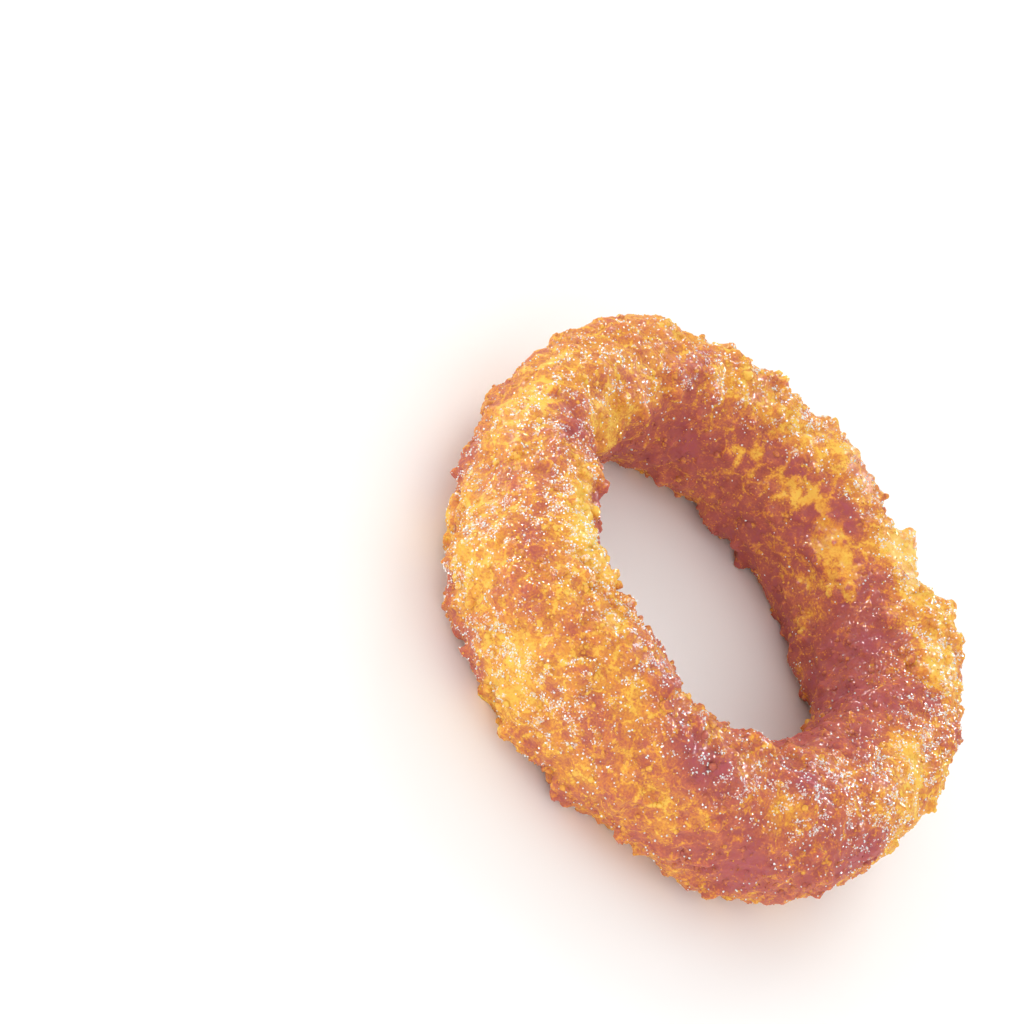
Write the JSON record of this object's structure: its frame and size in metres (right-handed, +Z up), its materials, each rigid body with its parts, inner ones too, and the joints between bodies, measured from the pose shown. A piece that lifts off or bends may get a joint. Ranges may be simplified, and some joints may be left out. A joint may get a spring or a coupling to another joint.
{
  "type": "onion ring",
  "caption": "Thick breaded and deep-fried onion ring with a craggy golden crumb crust, lying flat with its hole clear through.",
  "frame": {"origin": "centre of the ring's footprint, on the surface that it rests on", "axes": "+Z up through the hole, +X and +Y in the plane of the ring"},
  "size_m": [0.0754, 0.0746, 0.0212],
  "materials": {
    "crumb_crust": "golden brown fried crumb crust, rough, with small oily glints"
  },
  "bodies": {
    "root": {"onion_ring": "crumb_crust"}
  },
  "joints": []
}
